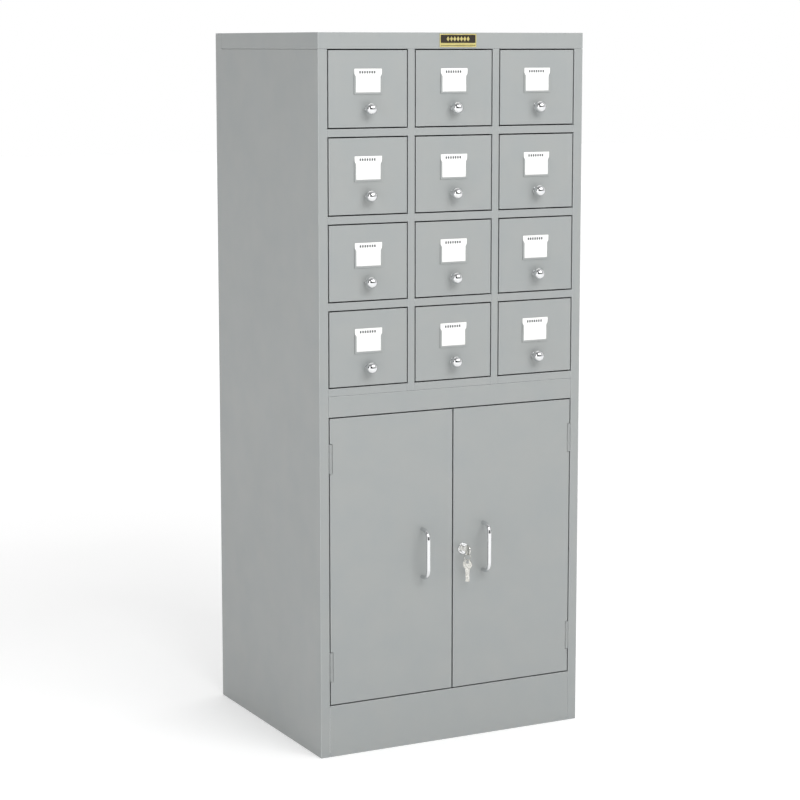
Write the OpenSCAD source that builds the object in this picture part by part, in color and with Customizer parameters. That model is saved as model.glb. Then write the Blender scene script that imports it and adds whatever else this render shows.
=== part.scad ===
// Card catalog cabinet: twelve card drawers above a two-door cupboard, in folded steel sheet.
// Frame: +Z up, -Y is the front, origin on the floor at the centre of the footprint, where the
// footprint runs from the front of the door handles to the back edge of the body.

/* [Body] */
// Overall width
body_w = 508; // [500:1:520]
// Depth of the body, from the front plane to the back edge
body_d = 432; // [424:1:450]
// Overall height
body_h = 1228; // [1226:1:1240]
// Thickness of the body sheet
sheet_t = 1.2; // [1.1:0.1:1.3]
// Width of the stile folded along each side of the front
stile_w = 16.7; // [16:0.1:18]
// Depth of the stile's return into the body
stile_d = 22; // [21:1:26]
// Depth of the top cap's flange
cap_drop = 27; // [24:1:27]
// Length of the side panel's rear ear, which the cap's side flange stops short of
ear_l = 28; // [24:1:32]

/* [Drawer bay] */
// Height of one row, opening and rail together
row_pitch = 144.2; // [143:0.1:144.2]
// Height of the rail between two rows
rail_h = 12.7; // [12:0.1:14]
// Width of the divider between two columns
divider_w = 12.5; // [12:0.1:13]
// Gap round a drawer front
front_gap = 2.4; // [1.8:0.1:2.4]
// Depth of the folded edge of a drawer front
front_fold = 12; // [10:1:13]
// Thickness of the drawer sheet
tray_t = 1; // [0.9:0.1:1]
// Outer width of the tray, between the folded top flanges
tray_w = 138; // [136:1:139]
// Outer height of the tray's sides
tray_h = 71; // [66:1:72]
// Length of the tray behind the front plane
tray_l = 410; // [400:1:412]

/* [Card rod and knob] */
// Diameter of the card rod
rod_d = 6; // [5:0.5:6]
// Diameter of the ball knob
knob_d = 20.4; // [18:0.1:21]
// Height of the rod above the drawer opening's lower edge
rod_z = 32.8; // [30:0.1:33.5]
// Distance of the ball's centre in front of the drawer
knob_reach = 12; // [11:0.5:13]

/* [Label holder] */
// Width of the label holder
holder_w = 52.4; // [51:0.1:54]
// Height of the window's lower edge above the drawer opening's lower edge
holder_z = 59.9; // [58:0.1:61]
// Height of the holder's side channels above the window's lower edge
holder_h = 26; // [25:0.1:28]
// Width of the window between the side channels
window_w = 45.8; // [44:0.1:48]

/* [Cupboard] */
// Height of the kick plate
kick_h = 89.8; // [86:0.1:92]
// Height of the plain rail between drawers and doors
fascia_h = 35.2; // [34:0.1:36]
// Thickness of a door, over its folded edges
door_d = 18; // [17:0.5:18]
// Gap between a door and the frame above and below it
door_gap = 2.4; // [1.8:0.1:2.4]
// Gap between a door and its stile
hinge_gap = 2.3; // [2.3:0.1:2.5]
// Gap between the two doors
meeting_gap = 2.8; // [2:0.1:2.8]
// Height of the cupboard shelf's top face
shelf_z = 340; // [330:1:350]

/* [Door furniture] */
// Diameter of the handle rod
handle_d = 7; // [7:0.5:7.5]
// Distance between the centres of a handle's legs
handle_span = 84; // [80:1:96]
// Distance from a door's face to the middle of the handle rod
handle_reach = 23.5; // [23.5:0.5:24]
// Distance of each handle from the middle of the cabinet
handle_x = 60; // [58:1:64]
// Distance of the lock from the middle of the cabinet
lock_x = 20; // [20:0.5:22]
// Diameter of the lock's face
lock_face_d = 20; // [19:0.5:22]
// Diameter of a hinge knuckle
knuckle_d = 5.8; // [5.6:0.1:5.8]
// Length of a hinge
hinge_l = 50; // [44:1:56]

/* [Hidden] */
$fn = 64;
rows = 4;
cols = 3;
join = 0.4;                    // hairline between two parts of the body
lap = 0.2;                     // hairline between two sheets that lie on each other
weld = 0.1;                    // how far a welded part reaches into the sheet it sits on
fit = 0.05;                    // radial clearance of a running fit
front_y = (handle_reach + handle_d / 2 - body_d) / 2;
back_y = front_y + body_d;
half_w = body_w / 2;
back_in_y = back_y - 2 * sheet_t;                 // inner face of the back panel
cap_z = body_h - cap_drop;
stile_x = half_w - stile_w;                       // inner edge of a stile
opening_w = (body_w - 2 * stile_w - (cols - 1) * divider_w) / cols;
opening_h = row_pitch - rail_h;
bay_z = cap_z - rows * row_pitch;                 // underside of the lowest rail
fascia_top = bay_z - join;
fascia_z = fascia_top - fascia_h;                 // top of the door opening
door_z = kick_h + door_gap;
door_h = fascia_z - door_gap - door_z;
door_x = stile_x - hinge_gap;                     // outer edge of a door
door_w = door_x - meeting_gap / 2;
door_mid_z = door_z + door_h / 2;
door_lip = 10;                                    // width of the lip round the back of a door
front_w = opening_w - 2 * front_gap;
front_h = opening_h - 2 * front_gap;
tray_z = front_gap + 3;                           // underside of the tray in its opening
tray_flange = 4.2;
runner_lip = 5;
runner_play = 0.4;
runner_inset = 0.1;
deck_drop = 0.1;                                  // a deck lies this far under the rail before it
hinge_zs = [158, 518];
hinge_ax = stile_x - 3.5;                         // distance of a hinge pin from the middle
hinge_ay = front_y + 1.5;
leaf_t = 0.9;
pin_d = 2.5;
screw_d = 4;
screw_l = 5.4;
screw_slot = 1.2;
bolt_x = -9;
bolt_y = front_y + 9;
bolt_d = 6;
stop_w = 20;
lock_proud = 2.2;
plug_d = 13;
barrel_d = 17;
barrel_l = 20;
cam_y = barrel_l + lap;
cam_t = 2;
thread_d = 3;
tail_w = 5;                                       // square end of the plug that turns the cam
bow_d = 18;
bow_y = -17.5;                                    // middle of the key's bow, from the door's face
key_t = 1.9;
key_l = 22;                                       // from the bow to the tip
ring_d = 12;
wire_d = 1.5;
eye_d = 6;
eye_off = 4.6;                                    // hole in the bow, from the bow's middle
eye_slack = 0.3;
ring_drop = eye_off + eye_d / 2 - wire_d / 2 - eye_slack;
spare_drop = ring_drop + ring_d + eye_d / 2 - wire_d / 2 - eye_slack + eye_off;
spare_turn = 32;

paint = [0.68, 0.70, 0.70];
chrome = [0.82, 0.83, 0.85];
zinc = [0.66, 0.67, 0.68];
brass = [0.75, 0.64, 0.34];

function drawer_name(r, c) = str("drawer_r", r, "c", c);
function rod_name(r, c) = str("card_rod_r", r, "c", c);
function column_x(c) = (c - (cols + 1) / 2) * (opening_w + divider_w);
function row_z(r) = cap_z - (r - 1) * row_pitch - opening_h;

// ---- helpers ----

// A box given by its lowest and highest corners
module block(low, high) {
    translate(low) cube(high - low);
}

// A cylinder along +Y that starts at the given depth
module rod_y(d, y0, y1) {
    translate([0, y0, 0]) rotate([-90, 0, 0]) cylinder(d = d, h = y1 - y0);
}

// A screw's round head from y0 on, with a driver slot across its face
module slotted_head(d, y0, height) {
    slot_depth = 1;
    difference() {
        rod_y(d, y0, y0 + height);
        block([-d, y0 + height - slot_depth, -screw_slot / 2], [d, y0 + 2 * height, screw_slot / 2]);
    }
}

// The part and its mirror image across the middle of the cabinet
module both_sides() {
    children();
    mirror([1, 0, 0]) children();
}

// A horizontal deck, notched at the front corners round the stile returns, with side flanges
module deck(z) {
    flange = 15;
    edge_x = half_w - sheet_t - lap;
    front_x = stile_x - join;
    notch_y = front_y + stile_d + join;
    end_y = back_in_y - join;
    translate([0, 0, z]) linear_extrude(sheet_t) polygon([
        [-front_x, front_y + sheet_t], [front_x, front_y + sheet_t], [front_x, notch_y],
        [edge_x, notch_y], [edge_x, end_y], [-edge_x, end_y], [-edge_x, notch_y],
        [-front_x, notch_y]]);
    both_sides() block([edge_x - sheet_t, notch_y, z - flange], [edge_x, end_y, z + sheet_t]);
}

// A rail across the front between the stiles, with flanges turned back along both long edges
module front_channel(x0, x1, z0, z1, depth) {
    block([x0, front_y, z0], [x1, front_y + sheet_t, z1]);
    block([x0, front_y, z0], [x1, front_y + depth, z0 + sheet_t]);
    block([x0, front_y, z1 - sheet_t], [x1, front_y + depth, z1]);
}

// ---- body ----

// The left side panel: skin, folded stile, rear and bottom flanges, and the upstand under the cap
module side_shell() {
    seam = 1.3;
    skin_top = cap_z - seam;
    stile_top = cap_z - 0.5;
    ear_top = body_h - sheet_t - lap;
    flange = 15;
    upstand_x = -half_w + sheet_t + lap;
    block([-half_w, front_y, 0], [-half_w + sheet_t, back_y, skin_top]);
    block([-half_w, front_y, 0], [-stile_x, front_y + sheet_t, stile_top]);
    block([-stile_x - sheet_t, front_y, 0], [-stile_x, front_y + stile_d, stile_top]);
    block([-half_w, back_y - sheet_t, 0], [-half_w + flange, back_y, ear_top]);
    block([-half_w, back_y - ear_l + join, 0], [-half_w + sheet_t, back_y, ear_top]);
    block([-half_w, front_y, 0], [-stile_x, back_in_y - join, sheet_t]);
    block([-half_w, front_y, skin_top - sheet_t],
          [upstand_x + sheet_t, back_y - ear_l, skin_top]);
    block([upstand_x, front_y + sheet_t + join, skin_top - sheet_t],
          [upstand_x + sheet_t, back_y - ear_l, ear_top - 1]);
}

module side_panel_left() {
    color(paint) side_shell();
}

module side_panel_right() {
    color(paint) mirror([1, 0, 0]) side_shell();
}

module back_panel() {
    edge_x = half_w - sheet_t - lap;
    color(paint) block([-edge_x, back_in_y, 0],
                       [edge_x, back_in_y + sheet_t, body_h - sheet_t - lap]);
}

module top_cap() {
    lip = 12;
    rear_flange = 15;
    lip_x = half_w - 3.2;
    rear_y = back_in_y - lap;
    color(paint) {
        block([-half_w, front_y, body_h - sheet_t], [half_w, back_y, body_h]);
        block([-half_w, front_y, cap_z], [half_w, front_y + sheet_t, body_h]);
        both_sides() block([-half_w, front_y, cap_z],
                           [-half_w + sheet_t, back_y - ear_l, body_h]);
        block([-lip_x, front_y, cap_z], [lip_x, front_y + lip, cap_z + sheet_t]);
        block([-lip_x, rear_y - sheet_t, body_h - rear_flange], [lip_x, rear_y, body_h]);
    }
}

// Plain metal plate on the cap: a raised frame, a raised bar and a sunk field above it
module nameplate() {
    plate_w = 70;
    plate_h = 22;
    plate_t = 0.9;
    plate_x = 7;
    plate_z = body_h - 13.3;
    rim = 1.6;
    groove_h = 1;
    bar_h = 4.2;
    sunk = 0.3;
    x = plate_w / 2 - rim;
    foot_z = -plate_h / 2 + rim;
    translate([plate_x, front_y, plate_z]) color(brass) difference() {
        block([-plate_w / 2, -plate_t, -plate_h / 2], [plate_w / 2, 0, plate_h / 2]);
        block([-x, -2 * plate_t, foot_z + groove_h + bar_h], [x, sunk - plate_t, plate_h / 2 - rim]);
        block([-x, -2 * plate_t, foot_z], [x, sunk - plate_t, foot_z + groove_h]);
    }
}

// ---- drawer bay ----

module column_dividers() {
    flange = 20;
    top_z = cap_z - join;
    color(paint) for (c = [1:cols - 1]) {
        x = column_x(c) + (opening_w + divider_w) / 2;
        translate([x, 0, 0]) {
            block([-divider_w / 2, front_y, bay_z], [divider_w / 2, front_y + sheet_t, top_z]);
            both_sides() block([-divider_w / 2, front_y, bay_z],
                               [-divider_w / 2 + sheet_t, front_y + flange, top_z]);
        }
    }
}

module front_rails() {
    depth = 18;
    color(paint) for (r = [1:rows], c = [1:cols]) {
        x = column_x(c);
        half = opening_w / 2 - join / 2;
        front_channel(x - half, x + half, row_z(r) - rail_h, row_z(r), depth);
    }
}

// One C-shaped runner on the left of an opening, which carries the tray's folded top flange
module runner() {
    ledge_z = tray_z + tray_h - tray_t - runner_play;
    top_z = ledge_z + tray_t + 3 * runner_play;
    y0 = front_fold + 2;
    y1 = body_d - 2 * sheet_t;
    translate([runner_inset - opening_w / 2, 0, 0]) {
        block([0, y0, ledge_z - sheet_t], [sheet_t, y1, top_z + sheet_t]);
        block([0, y0, ledge_z - sheet_t], [runner_lip, y1, ledge_z]);
        block([0, y0, top_z], [runner_lip, y1, top_z + sheet_t]);
    }
}

module drawer_runners() {
    color(zinc) for (r = [1:rows], c = [1:cols])
        translate([column_x(c), front_y, row_z(r)]) both_sides() runner();
}

// The pressed front, open at the back, with its edges folded back
module drawer_front() {
    x = front_w / 2;
    z0 = front_gap;
    z1 = front_gap + front_h;
    difference() {
        block([-x, 0, z0], [x, front_fold, z1]);
        block([-x + tray_t, tray_t, z0 + tray_t], [x - tray_t, front_fold + 1, z1 - tray_t]);
    }
}

// Bottom, sides with outturned top flanges, low front flange, rear wall and sloping card rest
module drawer_tray() {
    x = tray_w / 2;
    top = tray_z + tray_h;
    y0 = tray_t + lap;
    weld_flange = 14;
    rest_foot = tray_l - 44;
    rest_head = tray_l - 22;
    rest_t = 1.2;
    block([-x, y0, tray_z], [x, tray_l, tray_z + tray_t]);
    block([-x, y0, tray_z], [x, y0 + tray_t, tray_z + weld_flange]);
    block([-x, tray_l - tray_t, tray_z], [x, tray_l, top]);
    both_sides() {
        block([-x, y0, tray_z], [-x + tray_t, tray_l, top]);
        block([-x - tray_flange, front_fold + 1, top - tray_t], [-x + tray_t, tray_l, top]);
    }
    difference() {
        rotate([90, 0, 90]) translate([0, 0, -x]) linear_extrude(tray_w) polygon([
            [rest_foot, tray_z], [rest_foot + rest_t, tray_z],
            [rest_head + rest_t, top], [rest_head, top]]);
        translate([0, 0, rod_z]) rod_y(1.5 * rod_d, rest_foot - 1, rest_head + 2);
    }
}

// Folded pocket that holds a card behind its side and bottom lips
module label_holder() {
    proud = 1.5;
    slot = 0.7;
    lip = (holder_w - window_w) / 2;
    edge = 0.7;
    foot_z = holder_z - lip;
    chamfer = 5.1;
    outline = [
        [-holder_w / 2, foot_z], [holder_w / 2, foot_z],
        [holder_w / 2, holder_z + holder_h + chamfer], [window_w / 2, holder_z + holder_h],
        [window_w / 2, holder_z], [-window_w / 2, holder_z],
        [-window_w / 2, holder_z + holder_h], [-holder_w / 2, holder_z + holder_h + chamfer]];
    difference() {
        translate([0, weld, 0]) rotate([90, 0, 0]) linear_extrude(proud + weld) polygon(outline);
        block([-holder_w / 2 + edge, -slot, foot_z + edge],
              [holder_w / 2 - edge, 0, holder_z + holder_h + chamfer + 1]);
    }
}

// The front with its holder and bush, and the tray with its rear socket, a lap apart at the weld
module drawer() {
    bush_l = 6;
    socket_l = 10;
    bore_d = rod_d + 2 * fit;
    color(paint) {
        difference() {
            union() {
                drawer_front();
                label_holder();
                translate([0, 0, rod_z]) rod_y(2 * rod_d, tray_t / 2, bush_l);
            }
            translate([0, 0, rod_z]) rod_y(bore_d, -2, bush_l + 1);
        }
        difference() {
            union() {
                drawer_tray();
                translate([0, 0, rod_z])
                    rod_y(2 * rod_d, tray_l - socket_l, tray_l - tray_t / 2);
            }
            translate([0, 0, rod_z]) rod_y(bore_d, tray_l - socket_l - 1, tray_l - tray_t);
        }
    }
}

// Ball knob, neck and collar on the end of the rod that runs through the cards
module card_rod() {
    neck_d = 8.4;
    collar_d = 13;
    collar_t = 1.4;
    color(chrome) {
        rod_y(rod_d, -knob_reach, tray_l - 3 * tray_t);
        rod_y(neck_d, -knob_reach, 0);
        rod_y(collar_d, -collar_t, 0);
        translate([0, -knob_reach, 0]) sphere(d = knob_d);
    }
}

// ---- cupboard ----

module mid_deck() {
    color(paint) deck(fascia_top - 2 * sheet_t - deck_drop);
}

module fascia_rail() {
    depth = 20;
    x = stile_x - join;
    color(paint) difference() {
        front_channel(-x, x, fascia_z, fascia_top, depth);
        translate([bolt_x, bolt_y, fascia_z - 1]) cylinder(d = bolt_d + 1, h = sheet_t + 2);
    }
}

module kick_plate() {
    depth = 20;
    x = stile_x - join;
    color(paint) front_channel(-x, x, 0, kick_h, depth);
}

module cupboard_floor() {
    color(paint) deck(kick_h - 2 * sheet_t - deck_drop);
}

module cupboard_shelf() {
    x = half_w - 3.6;
    y0 = front_y + 32;
    y1 = back_in_y - 3;
    flange = 15;
    front_flange = 25;
    hem = 8;
    color(paint) {
        block([-x, y0, shelf_z - sheet_t], [x, y1, shelf_z]);
        block([-x, y0, shelf_z - front_flange], [x, y0 + sheet_t, shelf_z]);
        block([-x, y0, shelf_z - front_flange], [x, y0 + hem, shelf_z - front_flange + sheet_t]);
        block([-x, y1 - sheet_t, shelf_z - flange], [x, y1, shelf_z]);
        both_sides() block([-x, y0 + 1.5 * hem, shelf_z - flange], [-x + sheet_t, y1, shelf_z]);
    }
}

// Four angle brackets under the shelf's side flanges
module shelf_clips() {
    x = half_w - sheet_t;
    z = shelf_z - 15;
    clip_w = 25;
    clip_h = 20;
    clip_reach = 12;
    color(zinc) for (y = [front_y + 60, back_y - 80]) both_sides() {
        block([-x, y, z - sheet_t], [-x + sheet_t, y + clip_w, z + clip_h]);
        block([-x, y, z - sheet_t], [-x + clip_reach, y + clip_w, z]);
    }
}

// Four tabs that the doors close against
module door_stops() {
    y0 = front_y + door_d + 0.4;
    reach = 12;
    color(paint) for (z = [kick_h, fascia_z - reach]) both_sides()
        block([-3 * stop_w, y0, z], [-2 * stop_w, y0 + sheet_t, z + reach]);
}

// ---- hinges ----

// The parts of a hinge in z that one leaf's knuckles fill
function outer_knuckles() = [[-hinge_l / 2, -hinge_l / 6 - 0.15], [hinge_l / 6 + 0.15, hinge_l / 2]];
function middle_knuckle() = [[-hinge_l / 6 + 0.15, hinge_l / 6 - 0.15]];

// One leaf: knuckles round the pin's axis, and a plate between x0 and x0 + leaf_t behind them
module leaf(x0, knuckles, bore_d) {
    plate_y = 3.6;
    plate_l = 15;
    difference() {
        union() {
            for (k = knuckles) {
                translate([0, 0, k[0]]) cylinder(d = knuckle_d, h = k[1] - k[0]);
                block([x0, 0, k[0]], [x0 + leaf_t, plate_y + 1, k[1]]);
            }
            block([x0, plate_y, -hinge_l / 2], [x0 + leaf_t, plate_l, hinge_l / 2]);
        }
        translate([0, 0, -hinge_l]) cylinder(d = bore_d, h = 2 * hinge_l);
    }
}

module at_left_hinges() {
    for (z = hinge_zs) translate([-hinge_ax, hinge_ay, z]) children();
}

module hinge_frame_leaves() {
    color(paint) both_sides() at_left_hinges()
        leaf(hinge_ax - stile_x, outer_knuckles(), pin_d);
}

module hinge_pins() {
    color(zinc) both_sides() at_left_hinges()
        translate([0, 0, -hinge_l / 2]) cylinder(d = pin_d, h = hinge_l);
}

module door_leaves() {
    at_left_hinges() leaf(hinge_ax - door_x - leaf_t, middle_knuckle(), pin_d + 2 * fit);
}

module hinge_leaves_left() {
    color(paint) door_leaves();
}

module hinge_leaves_right() {
    color(paint) mirror([1, 0, 0]) door_leaves();
}

// ---- doors ----

// The left door's pan: skin, four folded edges, a lip round the back, and notches for the hinges
module door_pan() {
    x0 = -door_x;
    x1 = -door_x + door_w;
    z1 = door_z + door_h;
    notch_w = 4.5;
    notch_d = 5.2;
    notch_gap = 0.6;
    difference() {
        block([x0, front_y, door_z], [x1, front_y + door_d, z1]);
        block([x0 + sheet_t, front_y + sheet_t, door_z + sheet_t],
              [x1 - sheet_t, front_y + door_d - sheet_t, z1 - sheet_t]);
        block([x0 + door_lip, front_y + door_d / 2, door_z + door_lip],
              [x1 - door_lip, front_y + door_d + 1, z1 - door_lip]);
        for (z = hinge_zs)
            block([x0 - 1, front_y - 1, z - hinge_l / 2 - notch_gap],
                  [x0 + notch_w, front_y + notch_d, z + hinge_l / 2 + notch_gap]);
        for (dz = [-1, 1]) translate([-handle_x, front_y, door_mid_z + dz * handle_span / 2])
            rod_y(screw_d + 0.4, -1, sheet_t + 1);
    }
}

module door_left() {
    color(paint) difference() {
        door_pan();
        translate([bolt_x, bolt_y, door_z + door_h - 2 * sheet_t])
            cylinder(d = bolt_d + 0.6, h = 3 * sheet_t);
    }
}

module door_right() {
    color(paint) difference() {
        mirror([1, 0, 0]) door_pan();
        translate([lock_x, front_y, door_mid_z]) rod_y(barrel_d + lap, -1, sheet_t + 1);
    }
}

// A bow handle on the left door: two legs, two bends and an upright bar
module bow_handle() {
    bend = 17;
    half = handle_span / 2;
    translate([-handle_x, front_y, door_mid_z]) {
        translate([0, -handle_reach, bend - half])
            cylinder(d = handle_d, h = handle_span - 2 * bend);
        for (side = [0, 1]) mirror([0, 0, side]) {
            translate([0, bend - handle_reach, half - bend]) rotate([0, 90, 0]) rotate(180)
                rotate_extrude(angle = 90) translate([bend, 0]) circle(d = handle_d);
            translate([0, 0, half]) difference() {
                rod_y(handle_d, bend - handle_reach, 0);
                rod_y(screw_d + 2 * fit, -screw_l - 1, 1);
            }
        }
    }
}

module handle_left() {
    color(chrome) bow_handle();
}

module handle_right() {
    color(chrome) mirror([1, 0, 0]) bow_handle();
}

// The two screws that hold a handle from inside the left door
module handle_screws() {
    for (dz = [-1, 1]) translate([-handle_x, front_y, door_mid_z + dz * handle_span / 2]) {
        rod_y(screw_d, -screw_l, sheet_t);
        slotted_head(2 * screw_d, sheet_t, 2.4);
    }
}

module handle_screws_left() {
    color(zinc) handle_screws();
}

module handle_screws_right() {
    color(zinc) mirror([1, 0, 0]) handle_screws();
}

// ---- bolt inside the left door ----

module bolt_guides() {
    guide_h = 12;
    color(zinc) for (z = [door_z + door_h - 66, door_z + door_h - 20]) difference() {
        block([bolt_x - 5, front_y + sheet_t, z], [-meeting_gap / 2 - sheet_t, bolt_y + 5, z + guide_h]);
        translate([bolt_x, bolt_y, z - 1]) cylinder(d = bolt_d + 2 * fit, h = guide_h + 2);
    }
}

module door_bolt() {
    top_z = door_z + door_h - sheet_t - 0.3;
    length = 72;
    color(zinc) {
        translate([bolt_x, bolt_y, top_z - length]) cylinder(d = bolt_d, h = length);
        translate([bolt_x, bolt_y, top_z - 45]) rotate([0, -90, 0]) cylinder(d = 5, h = 15);
    }
}

// ---- lock and keys ----

module at_lock() {
    translate([lock_x, front_y, door_mid_z]) children();
}

module lock_body() {
    color(chrome) at_lock() difference() {
        union() {
            rod_y(barrel_d, -lock_proud, barrel_l);
            rod_y(lock_face_d, -lock_proud, 0);
        }
        rod_y(plug_d + 2 * fit, -2 * lock_proud, barrel_l + 1);
    }
}

module lock_nut() {
    nut_d = 25;
    nut_t = 4;
    color(zinc) at_lock() difference() {
        translate([0, sheet_t, 0]) rotate([-90, 0, 0]) cylinder(d = nut_d, h = nut_t, $fn = 6);
        rod_y(barrel_d, 0, 2 * nut_t);
    }
}

// The turning plug: keyway from the front, square tail through the cam
module lock_plug() {
    slot_w = 2.3;
    slot_h = 8.4;
    color(chrome) at_lock() difference() {
        union() {
            rod_y(plug_d, -lock_proud - join, barrel_l);
            block([-tail_w / 2, barrel_l - 1, -tail_w / 2], [tail_w / 2, cam_y + cam_t, tail_w / 2]);
        }
        block([-slot_w / 2, -2 * lock_proud, -slot_h / 2], [slot_w / 2, barrel_l - 2, slot_h / 2]);
        rod_y(thread_d, barrel_l - 1, barrel_l + 5);
    }
}

module lock_cam() {
    cam_w = 14;
    cam_l = 34;
    hole = tail_w + 2 * fit;
    color(zinc) at_lock() difference() {
        union() {
            rod_y(cam_w, cam_y, cam_y + cam_t);
            block([-cam_w / 2, cam_y, 5 - cam_l], [cam_w / 2, cam_y + cam_t, 0]);
        }
        block([-hole / 2, cam_y - 1, -hole / 2], [hole / 2, cam_y + cam_t + 1, hole / 2]);
    }
}

module cam_screw() {
    head_y = cam_y + cam_t;
    color(zinc) at_lock() {
        rod_y(thread_d - 2 * fit, barrel_l - 0.5, head_y);
        slotted_head(3 * thread_d, head_y, 2.2);
    }
}

// A key whose bow is centred on the origin; the blade runs along +Y and the eye is at -Z
module key_blank(eye) {
    blade_h = 7.4;
    neck_h = 8.6;
    neck_l = 4;
    reach = bow_d / 2;
    cuts = [6, 9.2, 12.4, 15.6];
    difference() {
        union() {
            translate([-key_t / 2, 0, 0]) rotate([0, 90, 0]) cylinder(d = bow_d, h = key_t);
            block([-key_t / 2, 0, -neck_h / 2], [key_t / 2, reach + neck_l, neck_h / 2]);
            block([-key_t / 2, 0, -blade_h / 2], [key_t / 2, reach + key_l, blade_h / 2]);
        }
        translate([-key_t, eye[0], eye[1]]) rotate([0, 90, 0]) cylinder(d = eye_d, h = 2 * key_t);
        for (y = cuts) translate([0, reach + neck_l + y - 2, blade_h / 2]) rotate([45, 0, 0])
            cube([3 * key_t, 1.5, 1.5], center = true);
    }
}

module key() {
    color(zinc) at_lock() translate([0, bow_y, 0]) key_blank([0, -eye_off]);
}

module key_ring() {
    color(zinc) at_lock() translate([0, bow_y, -ring_drop - ring_d / 2]) rotate([90, 0, 0])
        rotate_extrude() translate([ring_d / 2, 0]) circle(d = wire_d, $fn = 24);
}

// The second key hangs from the ring, blade down, turned a little to one side
module spare_key() {
    color(zinc) at_lock() translate([0, bow_y, -spare_drop]) rotate([0, 0, spare_turn])
        rotate([-90, 0, 0]) key_blank([-eye_off, 0]);
}

side_panel_left();
side_panel_right();
back_panel();
top_cap();
nameplate();
column_dividers();
front_rails();
drawer_runners();
mid_deck();
fascia_rail();
kick_plate();
cupboard_floor();
cupboard_shelf();
shelf_clips();
door_stops();
hinge_frame_leaves();
hinge_pins();
door_left();
hinge_leaves_left();
handle_left();
handle_screws_left();
bolt_guides();
door_bolt();
door_right();
hinge_leaves_right();
handle_right();
handle_screws_right();
lock_body();
lock_nut();
lock_plug();
lock_cam();
cam_screw();
key();
key_ring();
spare_key();
for (r = [1:rows], c = [1:cols]) translate([column_x(c), front_y, row_z(r)])
    drawer();
for (r = [1:rows], c = [1:cols]) translate([column_x(c), front_y, row_z(r) + rod_z])
    card_rod();
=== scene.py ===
"""Card catalog cabinet in grey enamelled sheet steel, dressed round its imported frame.

Twelve card drawers stand over a cupboard with two doors. Places come from the frame's own boxes,
so every piece lies where its CAD solid lies. Lengths are in metres, written as millimetres times MM.
"""

import logging
import math
from collections.abc import Iterable
from dataclasses import dataclass
from enum import Enum

import bmesh
import bpy
from mathutils import Matrix, Vector


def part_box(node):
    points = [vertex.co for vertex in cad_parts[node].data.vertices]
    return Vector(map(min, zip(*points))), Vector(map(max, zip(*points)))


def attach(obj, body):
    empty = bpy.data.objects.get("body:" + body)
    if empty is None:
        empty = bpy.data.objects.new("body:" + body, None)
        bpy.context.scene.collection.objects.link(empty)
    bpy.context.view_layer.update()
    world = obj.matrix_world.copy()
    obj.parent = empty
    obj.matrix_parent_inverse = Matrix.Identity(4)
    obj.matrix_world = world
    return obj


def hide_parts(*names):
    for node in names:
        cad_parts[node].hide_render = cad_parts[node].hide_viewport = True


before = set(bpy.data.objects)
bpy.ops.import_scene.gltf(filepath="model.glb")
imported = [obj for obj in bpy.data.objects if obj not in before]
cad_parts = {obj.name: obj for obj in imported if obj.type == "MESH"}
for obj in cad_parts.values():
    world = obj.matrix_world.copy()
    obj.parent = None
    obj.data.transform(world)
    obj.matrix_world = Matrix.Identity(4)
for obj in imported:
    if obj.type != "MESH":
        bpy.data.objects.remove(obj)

LOG = logging.getLogger("cabinet")
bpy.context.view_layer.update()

MM = 0.001
MERGE = 0.01 * MM
FLAT = math.radians(0.5)
CREASE = math.radians(35)
RIGHT_FOLD = math.radians(60)
# marks the rounded fold faces, which the enamel colours with a painted highlight
FOLD_LAYER = "fold"
NOISE_VALLEY, NOISE_PEAK = 0.3, 0.7  # nearly all of the noise lies between these two
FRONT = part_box("kick_plate")[0].y

Point = tuple[float, float]
Colour = tuple[float, float, float, float]
Socket = bpy.types.NodeSocket
Tree = bpy.types.NodeTree


class Side(Enum):
    """Which side of the cabinet a piece is on, as seen from the front."""

    LEFT = "left"
    RIGHT = "right"


class Slot(Enum):
    """The record's material slots."""

    ENAMEL = "grey_enamel"
    CHROME = "chrome"
    ZINC = "zinc_steel"
    NICKEL = "nickel"
    PLATE = "brass_plate"


def srgb(code: str) -> Colour:
    """Turns an sRGB hex value into a linear colour.

    Args:
        code: the colour as "#RRGGBB".

    Returns:
        The linear red, green and blue, and an alpha of one.
    """
    shares = [int(code[i:i + 2], 16) / 255 for i in (1, 3, 5)]
    linear = [s / 12.92 if s <= 0.04045 else ((s + 0.055) / 1.055) ** 2.4 for s in shares]
    return (*linear, 1.0)


def add_node(tree: Tree, kind: str, settings: dict[str, object] | None = None,
             inputs: dict[str | int, object] | None = None,
             links: dict[str | int, Socket] | None = None) -> bpy.types.Node:
    """Adds a node with its settings, its constant inputs and its links.

    Args:
        tree: the node tree that gets the node.
        kind: the node's Blender type name.
        settings: attributes of the node itself.
        inputs: constant values by socket name or number.
        links: output sockets that feed this node, by socket name or number.

    Returns:
        The new node.
    """
    node = tree.nodes.new(kind)
    for name, value in (settings or {}).items():
        setattr(node, name, value)
    for name, value in (inputs or {}).items():
        node.inputs[name].default_value = value
    for name, source in (links or {}).items():
        tree.links.new(source, node.inputs[name])
    return node


def patches(tree: Tree, place: Socket, size: float, low: float, high: float,
            detail: float = 2.0) -> Socket:
    """Adds a soft random pattern of a real size, spread between two values.

    Args:
        tree: the material's node tree.
        place: the coordinates that the pattern reads, in metres.
        size: length of one patch.
        low: value in the pattern's valleys.
        high: value on its peaks.
        detail: octaves of finer pattern.

    Returns:
        The socket that carries the value.
    """
    field = add_node(tree, "ShaderNodeTexNoise", inputs={"Scale": 1 / size, "Detail": detail},
                     links={"Vector": place})
    spread = add_node(tree, "ShaderNodeMapRange",
                      inputs={"From Min": NOISE_VALLEY, "From Max": NOISE_PEAK,
                              "To Min": low, "To Max": high},
                      links={"Value": field.outputs["Fac"]})
    return spread.outputs["Result"]


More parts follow.
